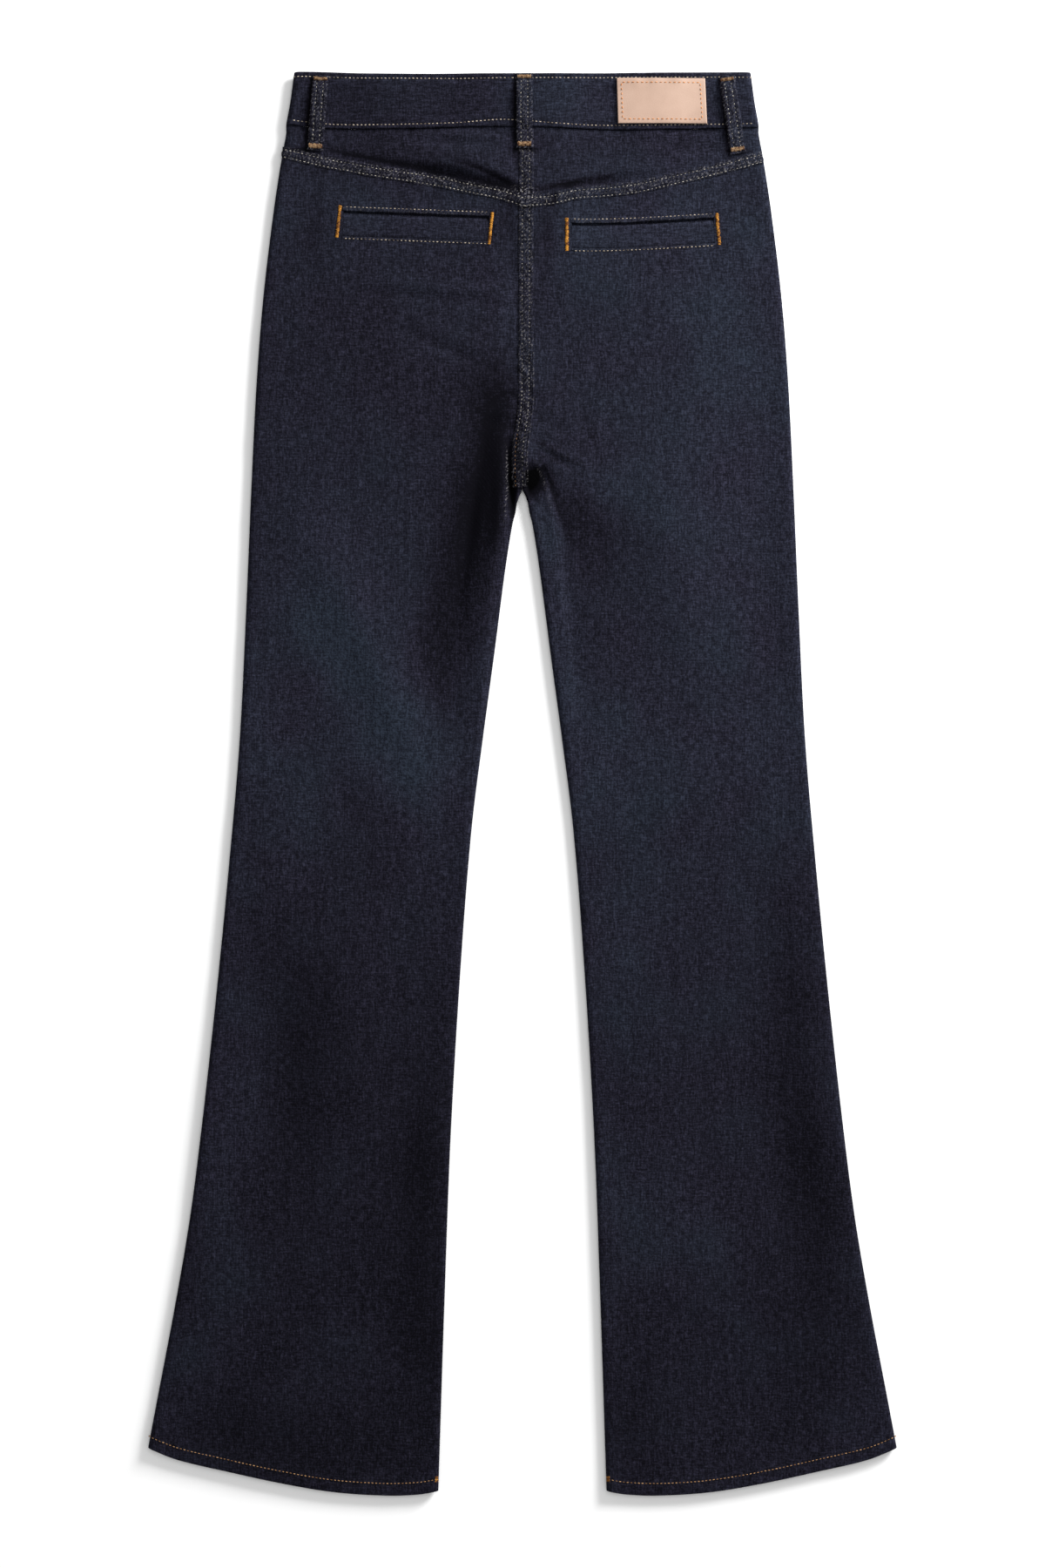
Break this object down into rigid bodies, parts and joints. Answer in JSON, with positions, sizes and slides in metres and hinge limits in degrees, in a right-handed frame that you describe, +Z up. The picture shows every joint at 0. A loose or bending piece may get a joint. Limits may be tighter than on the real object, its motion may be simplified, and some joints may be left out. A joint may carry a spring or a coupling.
{
  "type": "bootcut jeans",
  "caption": "Dark indigo denim bootcut jeans laid flat with the back up: waistband, yoke, welt pockets, belt loops, bare leather patch, button and zip fly.",
  "frame": {"origin": "on the plane the garment rests on, under the middle of its outline", "axes": "+Z up out of the back of the jeans, +Y towards the waist, +X to the right as the back is looked at"},
  "size_m": [0.6044, 1.1505, 0.0148],
  "materials": {
    "denim": "dark rinsed indigo twill",
    "patch_leather": "smooth undyed leather",
    "button_brass": "antique",
    "zip_tape": "woven tape",
    "zip_metal": "satin",
    "thread_beige": "sewing thread",
    "thread_tan": "sewing thread",
    "thread_gold": "dense bartack thread"
  },
  "bodies": {
    "root": {"waistband_back": "denim", "waistband_front_left": "denim", "waistband_front_right": "denim", "yoke_left": "denim", "yoke_right": "denim", "back_left": "denim", "back_right": "denim", "front_left": "denim", "front_right": "denim", "welt_left": "denim", "welt_right": "denim", "belt_loop_back_left": "denim", "belt_loop_back_centre": "denim", "belt_loop_back_right": "denim", "belt_loop_front_left": "denim", "belt_loop_front_right": "denim", "waist_patch": "patch_leather", "shank_button": "button_brass", "fly_zip": "zip_tape"}
  },
  "joints": []
}
